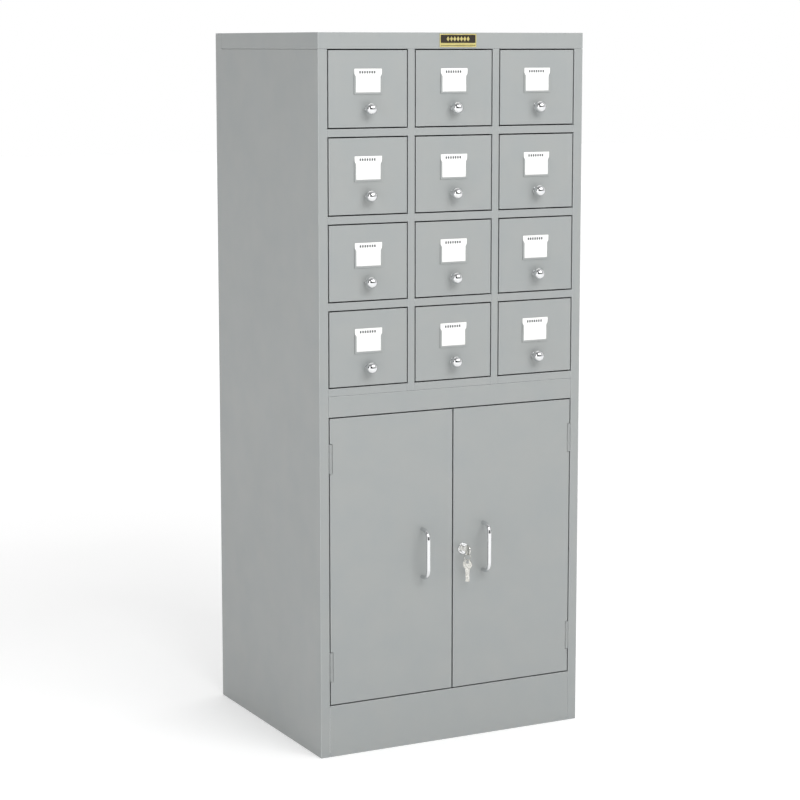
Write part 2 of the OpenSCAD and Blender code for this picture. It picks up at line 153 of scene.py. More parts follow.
def blend_colour(tree: Tree, share: Socket, first: Colour | Socket, other: Colour) -> Socket:
    """Mixes two colours by a share.

    Args:
        tree: the material's node tree.
        share: how much of the other colour there is, from 0 to 1.
        first: the colour at share 0, or the socket that gives it.
        other: the colour at share 1.

    Returns:
        The socket that carries the mixed colour.
    """
    factor, colour_a, colour_b, result = 0, 6, 7, 2
    given = isinstance(first, Socket)
    mix = add_node(tree, "ShaderNodeMix", settings={"data_type": "RGBA"},
                   inputs={colour_b: other} if given else {colour_a: first, colour_b: other},
                   links={factor: share, colour_a: first} if given else {factor: share})
    return mix.outputs[result]


# ---- finishes ----


@dataclass(frozen=True)
class Finish:
    """What every surface finish has: a name, a colour and the way it takes the light.

    Its slot is the record's material slot of what it covers. The stage's finish has none.
    """

    name: str
    colour: str
    roughness: float
    slot: Slot | None = None
    metallic: float = 0.0
    ior: float = 1.5

    def material(self) -> bpy.types.Material:
        """Builds the finish's node material the first time, and finds it again after that.

        Returns:
            The material.
        """
        known = bpy.data.materials.get(self.name)
        if known is not None:
            return known
        made = bpy.data.materials.new(self.name)
        made.use_nodes = True
        tree = made.node_tree
        tree.nodes.clear()
        shader = add_node(tree, "ShaderNodeBsdfPrincipled", inputs={
            "Base Color": srgb(self.colour), "Roughness": self.roughness,
            "Metallic": self.metallic, "IOR": self.ior})
        add_node(tree, "ShaderNodeOutputMaterial", links={"Surface": shader.outputs["BSDF"]})
        self.dress(tree, shader, add_node(tree, "ShaderNodeTexCoord").outputs["Object"])
        return made

    def dress(self, tree: Tree, shader: bpy.types.Node, place: Socket) -> None:
        """Adds the finish's own patterns. A plain finish has none.

        Args:
            tree: the material's node tree.
            shader: its Principled shader.
            place: the object coordinates, in metres.
        """

    def relief(self, tree: Tree, shader: bpy.types.Node,
               layers: Iterable[tuple[Socket, float]]) -> None:
        """Gives the surface its relief, from the coarsest layer to the finest.

        Args:
            tree: the material's node tree.
            shader: its Principled shader.
            layers: height patterns from 0 to 1, each with its real height in metres.
        """
        normal = None
        for height, depth in layers:
            under = {} if normal is None else {"Normal": normal}
            bump = add_node(tree, "ShaderNodeBump", inputs={"Strength": 1.0, "Distance": depth},
                            links={"Height": height, **under})
            normal = bump.outputs["Normal"]
        tree.links.new(normal, shader.inputs["Normal"])


@dataclass(frozen=True)
class BakedEnamel(Finish):
    """Light grey enamel sprayed on folded steel sheet and baked: an even semi-gloss coat.

    It gives the eye a broad soft sheen, a faint orange-peel skin, panels that are not quite flat,
    and a painted highlight on its rounded folds, which are coloured a little lighter.
    """

    name: str = "baked_enamel_grey"
    slot: Slot = Slot.ENAMEL
    colour: str = "#A0A3A2"
    shade: str = "#9DA1A1"
    fold_highlight_colour: str = "#BABEBE"
    fold_highlight_share: float = 0.8
    roughness: float = 0.36
    roughest: float = 0.42
    mottle: float = 45 * MM
    panel_wave: float = 210 * MM
    wave_height: float = 0.07 * MM
    peel: float = 2.2 * MM  # real skin is nearer 1 mm, drawn coarser so that it shows
    peel_height: float = 0.006 * MM

    def dress(self, tree: Tree, shader: bpy.types.Node, place: Socket) -> None:
        """Adds mottling, the painted highlight on the folds, the wavy panels and the orange peel."""
        mottled = blend_colour(tree, patches(tree, place, self.mottle, 0.0, 1.0),
                               srgb(self.colour), srgb(self.shade))
        # painted highlight: the rounded fold faces are coloured lighter, standing in for light
        # caught on the bends
        fold = add_node(tree, "ShaderNodeAttribute", settings={"attribute_name": FOLD_LAYER})
        painted_fold_highlight = add_node(tree, "ShaderNodeMath", settings={"operation": "MULTIPLY"},
                        inputs={1: self.fold_highlight_share}, links={0: fold.outputs["Fac"]})
        colour = blend_colour(tree, painted_fold_highlight.outputs["Value"], mottled, srgb(self.fold_highlight_colour))
        tree.links.new(colour, shader.inputs["Base Color"])
        gloss = patches(tree, place, 2 * self.mottle, self.roughness, self.roughest)
        tree.links.new(gloss, shader.inputs["Roughness"])
        self.relief(tree, shader, [
            (patches(tree, place, self.panel_wave, 0.0, 1.0, detail=0.0), self.wave_height),
            (patches(tree, place, self.peel, 0.0, 1.0, detail=1.0), self.peel_height)])


@dataclass(frozen=True)
class ChromePlate(Finish):
    """Bright nickel-chrome plate on turned and bent steel: a clean mirror with faint smudges."""

    name: str = "bright_chrome_plate"
    slot: Slot = Slot.CHROME
    colour: str = "#DDDEDF"
    roughness: float = 0.03
    roughest: float = 0.08
    metallic: float = 1.0
    smudge: float = 9 * MM

    def dress(self, tree: Tree, shader: bpy.types.Node, place: Socket) -> None:
        """Adds smudges to the mirror."""
        gloss = patches(tree, place, self.smudge, self.roughness, self.roughest)
        tree.links.new(gloss, shader.inputs["Roughness"])


@dataclass(frozen=True)
class SatinZinc(Finish):
    """Zinc-plated steel: a bluish satin grey with the faint crystals of the plating."""

    name: str = "satin_zinc_plate"
    slot: Slot = Slot.ZINC
    colour: str = "#A8ABAD"
    shade: str = "#92969A"
    roughness: float = 0.34
    roughest: float = 0.48
    metallic: float = 1.0
    crystal: float = 4 * MM

    def dress(self, tree: Tree, shader: bpy.types.Node, place: Socket) -> None:
        """Adds crystals that differ in tone, and a satin that differs in depth."""
        cells = add_node(tree, "ShaderNodeTexVoronoi", inputs={"Scale": 1 / self.crystal},
                         links={"Vector": place})
        tone = add_node(tree, "ShaderNodeSeparateColor", links={"Color": cells.outputs["Color"]})
        colour = blend_colour(tree, tone.outputs["Red"], srgb(self.colour), srgb(self.shade))
        tree.links.new(colour, shader.inputs["Base Color"])
        gloss = patches(tree, place, 2 * self.crystal, self.roughness, self.roughest)
        tree.links.new(gloss, shader.inputs["Roughness"])


@dataclass(frozen=True)
class NickelStock(Finish):
    """Nickel-plated key stock: warm, bright, and rubbed dull in fine lines by the pocket."""

    name: str = "nickel_key_stock"
    slot: Slot = Slot.NICKEL
    colour: str = "#EBEAE5"
    shade: str = "#BDBCB5"
    roughness: float = 0.12
    roughest: float = 0.3
    metallic: float = 1.0
    rub: float = 3 * MM

    def dress(self, tree: Tree, shader: bpy.types.Node, place: Socket) -> None:
        """Adds rubbed patches that are darker and duller."""
        rubbed = patches(tree, place, self.rub, 0.0, 1.0, detail=5.0)
        tree.links.new(blend_colour(tree, rubbed, srgb(self.colour), srgb(self.shade)),
                       shader.inputs["Base Color"])
        gloss = patches(tree, place, self.rub / 2, self.roughness, self.roughest)
        tree.links.new(gloss, shader.inputs["Roughness"])


@dataclass(frozen=True)
class GoldPlate(Finish):
    """Pale gold anodised aluminium, brushed lengthways before it was dyed: a streaky warm gleam."""

    name: str = "pale_gold_anodised"
    slot: Slot = Slot.PLATE
    colour: str = "#F6EDB0"
    shade: str = "#DCCB70"
    roughness: float = 0.26
    roughest: float = 0.42
    metallic: float = 1.0
    streak: float = 0.5 * MM
    stretch: float = 30.0

    def dress(self, tree: Tree, shader: bpy.types.Node, place: Socket) -> None:
        """Adds brushing streaks that run along the plate."""
        along = add_node(tree, "ShaderNodeMapping", links={"Vector": place},
                         inputs={"Scale": (1 / self.stretch, 1.0, 1.0)}).outputs["Vector"]
        streaks = patches(tree, along, self.streak, 0.0, 1.0)
        tree.links.new(blend_colour(tree, streaks, srgb(self.colour), srgb(self.shade)),
                       shader.inputs["Base Color"])
        gloss = patches(tree, along, 2 * self.streak, self.roughness, self.roughest)
        tree.links.new(gloss, shader.inputs["Roughness"])


@dataclass(frozen=True)
class FieldEnamel(Finish):
    """Dark brown stove enamel filled into the plate's sunk fields: deep, glossy, barely speckled."""

    name: str = "dark_field_enamel"
    slot: Slot = Slot.PLATE
    colour: str = "#1E160C"
    shade: str = "#332814"
    roughness: float = 0.42
    speckle: float = 1.2 * MM

    def dress(self, tree: Tree, shader: bpy.types.Node, place: Socket) -> None:
        """Adds a faint speckle."""
        speckled = patches(tree, place, self.speckle, 0.0, 0.6)
        tree.links.new(blend_colour(tree, speckled, srgb(self.colour), srgb(self.shade)),
                       shader.inputs["Base Color"])


@dataclass(frozen=True)
class PrintedCard(Finish):
    """White card stock with a dashed rule printed near its top: matt, faintly fibrous paper.

    The rule is read from the card's own UV map, where 1 is the card's full width or height.
    """

    name: str = "printed_card_stock"
    slot: Slot = Slot.ENAMEL
    colour: str = "#FDFDFC"
    shade: str = "#F3F3F0"
    ink: str = "#505256"
    roughness: float = 0.86
    fibre: float = 0.9 * MM
    fibre_height: float = 0.02 * MM
    rule_u: float = 0.47
    rule_v: float = 0.86
    rule_length: float = 0.62
    rule_height: float = 0.1
    dashes: float = 11.3
    dash_share: float = 0.62

    def dress(self, tree: Tree, shader: bpy.types.Node, place: Socket) -> None:
        """Adds the paper's fibres and the dashed rule."""
        fibres = patches(tree, place, self.fibre, 0.0, 1.0, detail=4.0)
        paper = blend_colour(tree, fibres, srgb(self.colour), srgb(self.shade))
        own = add_node(tree, "ShaderNodeUVMap", settings={"uv_map": "card"})
        split = add_node(tree, "ShaderNodeSeparateXYZ", links={"Vector": own.outputs["UV"]})
        across = add_node(tree, "ShaderNodeMath", settings={"operation": "COMPARE"},
                          inputs={1: self.rule_u, 2: self.rule_length / 2},
                          links={0: split.outputs["X"]})
        up = add_node(tree, "ShaderNodeMath", settings={"operation": "COMPARE"},
                      inputs={1: self.rule_v, 2: self.rule_height / 2},
                      links={0: split.outputs["Y"]})
        steps = add_node(tree, "ShaderNodeMath", settings={"operation": "MULTIPLY"},
                         inputs={1: self.dashes}, links={0: split.outputs["X"]})
        share = add_node(tree, "ShaderNodeMath", settings={"operation": "FRACT"},
                         links={0: steps.outputs["Value"]})
        dash = add_node(tree, "ShaderNodeMath", settings={"operation": "LESS_THAN"},
                        inputs={1: self.dash_share}, links={0: share.outputs["Value"]})
        band = add_node(tree, "ShaderNodeMath", settings={"operation": "MULTIPLY"},
                        links={0: across.outputs["Value"], 1: up.outputs["Value"]})
        rule = add_node(tree, "ShaderNodeMath", settings={"operation": "MULTIPLY"},
                        links={0: band.outputs["Value"], 1: dash.outputs["Value"]})
        tree.links.new(blend_colour(tree, rule.outputs["Value"], paper, srgb(self.ink)),
                       shader.inputs["Base Color"])
        self.relief(tree, shader, [(fibres, self.fibre_height)])


@dataclass(frozen=True)
class StudioPaper(Finish):
    """Seamless white background paper under the object: matt, with a barely uneven tone."""

    name: str = "studio_paper"
    colour: str = "#FAFAFA"
    shade: str = "#F6F6F6"
    roughness: float = 0.9
    drift: float = 800 * MM
    near: float = 1.0
    far: float = 4.0
    near_painted_glow: float = 0.28
    far_painted_glow: float = 0.5

    def dress(self, tree: Tree, shader: bpy.types.Node, place: Socket) -> None:
        """Adds the slow drift of tone, and a painted glow of the paper itself, which grows outwards.
        """
        away = add_node(tree, "ShaderNodeVectorMath", settings={"operation": "LENGTH"},
                        links={0: place})
        # painted light: the paper emits white light of its own, weaker near the cabinet and stronger
        # farther out
        painted_glow = add_node(tree, "ShaderNodeMapRange",
                        inputs={"From Min": self.near, "From Max": self.far,
                                "To Min": self.near_painted_glow, "To Max": self.far_painted_glow},
                        links={"Value": away.outputs["Value"]})
        shader.inputs["Emission Color"].default_value = srgb("#FFFFFF")
        tree.links.new(painted_glow.outputs["Result"], shader.inputs["Emission Strength"])
        drifting = patches(tree, place, self.drift, 0.0, 1.0)
        tree.links.new(blend_colour(tree, drifting, srgb(self.colour), srgb(self.shade)),
                       shader.inputs["Base Color"])


ENAMEL = BakedEnamel()
CHROME = ChromePlate()
ZINC = SatinZinc()
NICKEL = NickelStock()
GOLD = GoldPlate()
FIELD = FieldEnamel()
CARD = PrintedCard()


# ---- mesh helpers ----


def arc(centre: Point, radius: float, first: float, last: float, steps: int = 8) -> list[Point]:
    """Lists the points of an arc in a lathe profile.

    Args:
        centre: the arc's centre as (distance from the axis, depth).
        radius: the arc's radius.
        first: angle of the first point in degrees, where 0 points to the front and 90 outwards.
        last: angle of the last point.
        steps: stretches between the points.

    Returns:
        The points as (distance from the axis, depth).
    """
    angles = [math.radians(first + (last - first) * i / steps) for i in range(steps + 1)]
    return [(centre[0] + radius * math.sin(a), centre[1] - radius * math.cos(a)) for a in angles]


def turned(profile: list[Point], centre: Vector, ring: bool = False,
           steps: int = 48) -> bmesh.types.BMesh:
    """Turns a profile on a lathe whose axis runs along Y.

    Args:
        profile: (distance from the axis, depth) points.
        centre: the point on the axis that has depth 0.
        ring: whether the profile closes on itself, as a tube's wall does.
        steps: faces round the axis.

    Returns:
        The turned shape.
    """
    bm = bmesh.new()
    verts = [bm.verts.new(centre + Vector((away, depth, 0.0))) for away, depth in profile]
    ends = verts[1:] + verts[:1] if ring else verts[1:]
    edges = [bm.edges.new(pair) for pair in zip(verts, ends)]
    bmesh.ops.spin(bm, geom=verts + edges, cent=centre, axis=(0, 1, 0), angle=math.tau,
                   steps=steps, use_merge=True)
    bmesh.ops.remove_doubles(bm, verts=bm.verts, dist=MERGE / 10)
    bmesh.ops.recalc_face_normals(bm, faces=bm.faces)
    return bm


def merged_copy(node: str) -> bmesh.types.BMesh:
    """Copies a CAD node's mesh as one connected shape with whole flat faces.

    Args:
        node: the CAD node's name.

    Returns:
        The merged shape, with an empty layer for its rounded folds.
    """
    bm = bmesh.new()
    bm.from_mesh(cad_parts[node].data)
    bm.faces.layers.float.new(FOLD_LAYER)
    bmesh.ops.remove_doubles(bm, verts=bm.verts, dist=MERGE)
    bmesh.ops.dissolve_limit(bm, angle_limit=FLAT, verts=bm.verts, edges=bm.edges)
    return bm


def reach(face: bmesh.types.BMFace, edge: bmesh.types.BMEdge) -> float:
    """Measures how far a face extends away from one of its edges.

    Args:
        face: the face.
        edge: one of its edges.

    Returns:
        The distance from the edge's line to the face's farthest corner.
    """
    start = edge.verts[0].co
    along = (edge.verts[1].co - start).normalized()
    return max(((v.co - start) - along * (v.co - start).dot(along)).length for v in face.verts)


def round_folds(bm: bmesh.types.BMesh, bend: float, narrow: float = 2.4 * MM) -> None:
    """Rounds the outer corners where the sheet is folded, and leaves its cut rims sharp.

    Args:
        bm: a merged copy of a sheet part.
        bend: outer radius of a fold.
        narrow: width of a face that is only the sheet's cut rim.
    """
    folds = [e for e in bm.edges
             if len(e.link_faces) == 2 and e.is_convex
             and e.calc_face_angle() > RIGHT_FOLD and e.calc_length() > narrow
             and all(reach(face, e) > narrow for face in e.link_faces)]
    rounded = bmesh.ops.bevel(bm, geom=folds, offset=bend, offset_type="OFFSET", segments=3,
                              profile=0.5, affect="EDGES", clamp_overlap=True, material=-1)
    layer = bm.faces.layers.float[FOLD_LAYER]
    for face in rounded["faces"]:
        face[layer] = 1.0


def soften(bm: bmesh.types.BMesh, width: float, ahead_of: float = math.inf) -> None:
    """Breaks the sharp convex edges of a small part.

    Args:
        bm: the merged shape.
        width: width of the broken edge.
        ahead_of: depth that an edge has to lie in front of to be broken.
    """
    sharp = [e for e in bm.edges
             if len(e.link_faces) == 2 and e.is_convex and e.calc_face_angle() > CREASE
             and all(v.co.y < ahead_of for v in e.verts)]
    bmesh.ops.bevel(bm, geom=sharp, offset=width, offset_type="OFFSET", segments=2,
                    profile=0.5, affect="EDGES", clamp_overlap=True, material=-1)


@dataclass
class Sweep:
    """A round bar that is drawn out from its first ring by straight and bent stretches."""

    start: Vector
    facing: Matrix
    radius: float
    segments: int = 32

    def __post_init__(self) -> None:
        """Makes the first ring and closes it."""
        self.bm = bmesh.new()
        bmesh.ops.create_circle(self.bm, cap_ends=True, segments=self.segments,
                                radius=self.radius,
                                matrix=Matrix.Translation(self.start) @ self.facing)
        self.rim: list[bmesh.types.BMEdge] = list(self.bm.edges)

    def straight(self, way: Vector) -> "Sweep":
        """Draws the bar on along a straight line.

        Args:
            way: direction and length of the stretch.

        Returns:
            This bar.
        """
        drawn = bmesh.ops.extrude_edge_only(self.bm, edges=self.rim)["geom"]
        bmesh.ops.translate(self.bm, vec=way,
                            verts=[g for g in drawn if isinstance(g, bmesh.types.BMVert)])
        self.rim = [g for g in drawn if isinstance(g, bmesh.types.BMEdge)]
        return self

    def bend(self, centre: Vector, axis: Vector, angle: float, steps: int = 10,
             rise: Vector = Vector((0, 0, 0))) -> "Sweep":
        """Draws the bar on round a bend.

        Args:
            centre: a point on the bend's axis.
            axis: the bend's axis.
            angle: how far it turns, in radians.
            steps: stretches in the bend.
            rise: shift along the axis over the whole bend, as in a coil.

        Returns:
            This bar.
        """
        drawn = bmesh.ops.spin(self.bm, geom=self.rim, cent=centre, axis=axis, angle=angle,
                               dvec=rise / steps, steps=steps)["geom_last"]
        self.rim = [g for g in drawn if isinstance(g, bmesh.types.BMEdge)]
        return self

    def close(self) -> bmesh.types.BMesh:
        """Closes the bar's last ring.

        Returns:
            The closed shape.
        """
        bmesh.ops.edgeloop_fill(self.bm, edges=self.rim)
        bmesh.ops.recalc_face_normals(self.bm, faces=self.bm.faces)
        return self.bm


def place_piece(name: str, bm: bmesh.types.BMesh, finishes: tuple[Finish, ...], body: str,
                stands_for: str | None = None) -> None:
    """Makes a finished piece of a shape and puts it on its body.

    Args:
        name: the piece's name.
        bm: its shape, which is used up.
        finishes: one for each material number in the shape.
        body: the CAD body it moves with.
        stands_for: the CAD node that it replaces, if any.
    """
    mesh = bpy.data.meshes.new(name)
    bm.to_mesh(mesh)
    bm.free()
    for stale in ("custom_normal", "sharp_face", "sharp_edge"):
        if stale in mesh.attributes:
            mesh.attributes.remove(mesh.attributes[stale])
    for finish in finishes:
        mesh.materials.append(finish.material())
    mesh.shade_smooth()
    mesh.set_sharp_from_angle(angle=CREASE)
    piece = bpy.data.objects.new(name, mesh)
    bpy.context.scene.collection.objects.link(piece)
    even = piece.modifiers.new("even_shading", "WEIGHTED_NORMAL")
    even.keep_sharp = True
    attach(piece, body)
    if stands_for is not None:
        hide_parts(stands_for)
    LOG.info("%s: %d faces on %s", name, len(mesh.polygons), body)


def dress_sheet(node: str, suffix: str, body: str, bend: float) -> None:
    """Dresses a folded sheet part in enamel, with its folds rounded.

    Args:
        node: the CAD node it replaces.
        suffix: what the piece's name adds to the node's.
        body: the CAD body it moves with.
        bend: outer radius of a fold.
    """
    bm = merged_copy(node)
    round_folds(bm, bend)
    place_piece(f"{node}_{suffix}", bm, (ENAMEL,), body, node)


def dress_solid(node: str, suffix: str, body: str, finish: Finish, edge: float) -> None:
    """Dresses a small solid part, with its sharp edges broken.

    Args:
        node: the CAD node it replaces.
        suffix: what the piece's name adds to the node's.
        body: the CAD body it moves with.
        finish: its finish.
        edge: width of a broken edge.
    """
    bm = merged_copy(node)
    soften(bm, edge)
    place_piece(f"{node}_{suffix}", bm, (finish,), body, node)


def paint_node(node: str, finish: Finish) -> None:
    """Gives a CAD node that keeps its own shape its finish.

    Args:
        node: the CAD node's name.
        finish: the finish.
    """
    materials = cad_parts[node].data.materials
    materials.clear()
    materials.append(finish.material())
    LOG.info("%s: kept, with %s", node, finish.name)


# ---- sub-assemblies ----


@dataclass
class SheetWork:
    """Folded sheet parts that carry the body: every one is a single sheet, enamelled all over."""

    body: str
    nodes: tuple[str, ...]
    bend: float = 1.5 * MM

    def build(self) -> None:
        """Builds each part with its folds rounded."""
        for node in self.nodes:
            dress_sheet(node, "sheet", self.body, self.bend)


@dataclass
class Nameplate:
    """The plate on the cap: a gold rim and bar, dark enamel in the sunk fields, plain lozenges."""

    node: str = "nameplate"
    body: str = "cabinet"
    rim: float = 1.6 * MM
    foot: float = 6.8 * MM
    sunk: float = 0.3 * MM
    edge: float = 0.12 * MM
    lozenges: int = 7
    lozenge_share: float = 0.64
    lozenge_height: float = 8.4 * MM
    lozenge_half: float = 0.46  # half a lozenge's width as a share of the pitch
    lozenge_top: float = 0.05 * MM
    lozenge_edge: float = 0.08 * MM

    def build(self) -> None:
        """Builds the plate and the row of lozenges in its field."""
        self.plate()
        self.ornament()

    def plate(self) -> None:
        """Dresses the plate, with its sunk faces in the dark enamel."""
        low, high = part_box(self.node)
        bm = merged_copy(self.node)
        for face in bm.faces:
            depth = face.calc_center_median().y - low.y
            face.material_index = int(face.normal.y < -0.9 and depth > self.sunk / 2)
        soften(bm, self.edge, low.y + self.sunk / 2)
        place_piece("nameplate_gold", bm, (GOLD, FIELD), self.body, self.node)
        LOG.info("nameplate is %.1f mm wide", (high.x - low.x) / MM)

    def ornament(self) -> None:
        """Builds the row of raised lozenges, each a flattened four-sided disc."""
        low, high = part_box(self.node)
        field_low, field_high = low.z + self.foot, high.z - self.rim
        span = (high.x - low.x) * self.lozenge_share
        pitch = span / self.lozenges
        bm = bmesh.new()
        for i in range(self.lozenges):
            spot = Vector(((low.x + high.x - span) / 2 + (i + 0.5) * pitch, low.y + self.sunk,
                           (field_low + field_high) / 2))
            shape = Matrix.Diagonal((pitch * self.lozenge_half, self.lozenge_height / 2, 1, 1))
            bmesh.ops.create_circle(bm, cap_ends=True, segments=4, radius=1.0,
                                    matrix=Matrix.Translation(spot)
                                    @ Matrix.Rotation(math.pi / 2, 4, "X") @ shape)
        raised = bmesh.ops.extrude_face_region(bm, geom=list(bm.faces))["geom"]
        bmesh.ops.translate(bm, vec=(0, self.lozenge_top - self.sunk, 0),
                            verts=[g for g in raised if isinstance(g, bmesh.types.BMVert)])
        bmesh.ops.recalc_face_normals(bm, faces=bm.faces)
        soften(bm, self.lozenge_edge, low.y + self.sunk / 2)
        place_piece("nameplate_lozenges", bm, (GOLD,), self.body)


@dataclass
class CardDrawer:
    """One card drawer: its enamelled steel, the card in its label holder, its rod and ball knob."""

    row: int
    column: int
    bend: float = 1.2 * MM
    holder_edge: float = 0.35 * MM
    holder_depth: float = 0.2 * MM
    card_width: float = 50.7 * MM
    card_foot: float = 54.9 * MM
    card_height: float = 41.6 * MM
    card_depth: float = 0.55 * MM
    card_thick: float = 0.35 * MM
    card_corner: float = 0.8 * MM
    neck: float = 4.2 * MM
    collar: float = 6.5 * MM
    collar_thick: float = 1.4 * MM
    collar_edge: float = 0.5 * MM
    rod: float = 3 * MM
    tip: float = 1 * MM

    def __post_init__(self) -> None:
        """Works out the names of the drawer's node, rod and bodies."""
        self.spot = f"r{self.row}c{self.column}"
        self.node = f"drawer_{self.spot}"
        self.body = f"drawer_unit_{self.spot}"

    def build(self) -> None:
        """Builds the drawer, its card and its rod."""
        self.steelwork()
        self.label_card()
        self.card_rod()

    def steelwork(self) -> None:
        """Rounds the folds of front and tray, and breaks the label holder's edges."""
        bm = merged_copy(self.node)
        round_folds(bm, self.bend)
        soften(bm, self.holder_edge, FRONT - self.holder_depth)
        place_piece(f"{self.node}_steel", bm, (ENAMEL,), self.body, self.node)

    def label_card(self) -> None:
        """Makes the card that stands in the holder, with its own UV map for the printing."""
        low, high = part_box(self.node)
        middle = Vector(((low.x + high.x) / 2, FRONT - self.card_depth + self.card_thick / 2,
                         low.z + self.card_foot + self.card_height / 2))
        size = Vector((self.card_width, self.card_thick, self.card_height))
        bm = bmesh.new()
        bmesh.ops.create_cube(bm, size=1.0,
                              matrix=Matrix.Translation(middle) @ Matrix.Diagonal((*size, 1)))
        corners = [e for e in bm.edges if abs(e.verts[0].co.y - e.verts[1].co.y) > MERGE]
        bmesh.ops.bevel(bm, geom=corners, offset=self.card_corner, offset_type="OFFSET",
                        segments=4, profile=0.5, affect="EDGES", clamp_overlap=True, material=-1)
        uv = bm.loops.layers.uv.new("card")
        for face in bm.faces:
            for loop in face.loops:
                from_middle = loop.vert.co - middle
                loop[uv].uv = (from_middle.x / size.x + 0.5, from_middle.z / size.z + 0.5)
        place_piece(f"label_card_{self.spot}", bm, (CARD,), self.body)

    def card_rod(self) -> None:
        """Turns the ball knob, its neck and collar and the rod in one profile."""
        node = f"card_rod_{self.spot}"
        low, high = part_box(node)
        ball = (high.x - low.x) / 2
        ball_depth = low.y - FRONT + ball
        length = high.y - FRONT
        meeting = 180 - math.degrees(math.asin(self.neck / ball))
        edge = self.collar_edge
        profile = [
            *arc((0.0, ball_depth), ball, 0, meeting, 24),
            (self.neck, -self.collar_thick),
            *arc((self.collar - edge, edge - self.collar_thick), edge, 0, 90, 4),
            (self.collar, 0.0), (self.rod, 0.0), (self.rod, length - self.tip),
            (self.rod - self.tip, length), (0.0, length)]
        axis = Vector(((low.x + high.x) / 2, FRONT, (low.z + high.z) / 2))
        place_piece(f"{node}_chrome", turned(profile, axis), (CHROME,), f"rod_unit_{self.spot}",
                    node)


@dataclass
class BowHandle:
    """A bow handle on its door: two legs, two bends and an upright bar of chromed rod."""

    side: Side
    bend: float = 17 * MM

    def build(self) -> None:
        """Draws the handle out from its lower foot to its upper one."""
        node = f"handle_{self.side.value}"
        low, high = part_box(node)
        radius = (high.x - low.x) / 2
        x = (low.x + high.x) / 2
        leg = FRONT - low.y - radius - self.bend
        span = high.z - low.z - 2 * radius
        out, up = Vector((0, -leg, 0)), Vector((0, 0, span - 2 * self.bend))
        foot_z, head_z = low.z + radius, high.z - radius
        bend_y = FRONT - leg
        bar = Sweep(Vector((x, FRONT, foot_z)), Matrix.Rotation(math.pi / 2, 4, "X"), radius)
        bar.straight(out)
        bar.bend(Vector((x, bend_y, foot_z + self.bend)), Vector((1, 0, 0)), -math.pi / 2)
        bar.straight(up)
        bar.bend(Vector((x, bend_y, head_z - self.bend)), Vector((1, 0, 0)), -math.pi / 2)
        bar.straight(-out)
        place_piece(f"{node}_chrome", bar.close(), (CHROME,), f"{self.side.value}_door", node)


@dataclass
class CupboardDoor:
    """One door: its folded pan, its hinge leaves, its bow handle and the handle's screws."""

    side: Side
    bend: float = 1.5 * MM
    screw_edge: float = 0.3 * MM
    leaf_edge: float = 0.15 * MM

    def build(self) -> None:
        """Builds the door's pieces."""
        name, body = self.side.value, f"{self.side.value}_door"
        dress_sheet(f"door_{name}", "pan", body, self.bend)
        dress_solid(f"hinge_leaves_{name}", "steel", body, ENAMEL, self.leaf_edge)
        dress_solid(f"handle_screws_{name}", "zinc", body, ZINC, self.screw_edge)
        BowHandle(self.side).build()


@dataclass
class CamLock:
    """The cam lock in the right door: a chromed body, its nut, the turning plug and the cam."""

    bore: float = 6.55 * MM
    barrel: float = 8.5 * MM
    bezel: float = 1.1 * MM
    chamfer: float = 0.5 * MM
    edge: float = 0.2 * MM

    def build(self) -> None:
        """Turns the body, and breaks the edges of the other pieces."""
        self.lock_case()
        for node, body, finish in (("lock_nut", "right_door", ZINC), ("lock_plug", "lock", CHROME),
                                   ("lock_cam", "lock", ZINC), ("cam_screw", "lock", ZINC)):
            dress_solid(node, "metal", body, finish, self.edge)

    def lock_case(self) -> None:
        """Turns the lock's body, with a rounded bezel round its face."""
        low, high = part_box("lock_body")
        face = (high.x - low.x) / 2
        proud, length = low.y - FRONT, high.y - FRONT
        profile = [
            (self.bore, proud + self.chamfer), (self.bore + self.chamfer, proud),
            *arc((face - self.bezel, proud + self.bezel), self.bezel, 0, 90, 6),
            (face, 0.0), (self.barrel, 0.0), (self.barrel, length), (self.bore, length)]
        axis = Vector(((low.x + high.x) / 2, FRONT, (low.z + high.z) / 2))
        place_piece("lock_body_chrome", turned(profile, axis, ring=True), (CHROME,),
                    "right_door", "lock_body")


@dataclass
class Keys:
    """The key in the lock, the split ring through its bow and the spare key on the ring."""

    edge: float = 0.25 * MM
    turns: int = 2
    steps_a_turn: int = 48
    wire: float = 0.37 * MM

    def build(self) -> None:
        """Builds both keys and the ring."""
        for node, body in (("key", "key_in_lock"), ("spare_key", "hanging_key")):
            dress_solid(node, "nickel", body, NICKEL, self.edge)
        self.split_ring()

    def split_ring(self) -> None:
        """Winds the ring from two turns of wire that lie side by side."""
        low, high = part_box("key_ring")
        centre = (low + high) / 2
        around = (high.x - low.x - (high.y - low.y)) / 2
        rise = Vector((0, 2 * self.wire * self.turns, 0))
        start = centre + Vector((around, 0, 0)) - rise / 2
        wire = Sweep(start, Matrix.Identity(4), self.wire, segments=12)
        wire.bend(centre, Vector((0, 1, 0)), self.turns * math.tau,
                  self.turns * self.steps_a_turn, rise)
        place_piece("key_ring_wire", wire.close(), (NICKEL,), "ring", "key_ring")


@dataclass
class Hardware:
    """Small plated and enamelled parts inside the body and on the left door."""

    edge: float = 0.2 * MM

    def build(self) -> None:
        """Breaks the edges of the parts that show, and paints those that stay as they are."""
        for node, body, finish in (
                ("hinge_frame_leaves", "cabinet", ENAMEL), ("hinge_pins", "cabinet", ZINC),
                ("bolt_guides", "left_door", ZINC), ("door_bolt", "left_bolt", ZINC)):
            dress_solid(node, "metal", body, finish, self.edge)
        for node in ("drawer_runners", "shelf_clips"):
            paint_node(node, ZINC)
        paint_node("door_stops", ENAMEL)


# ---- studio ----


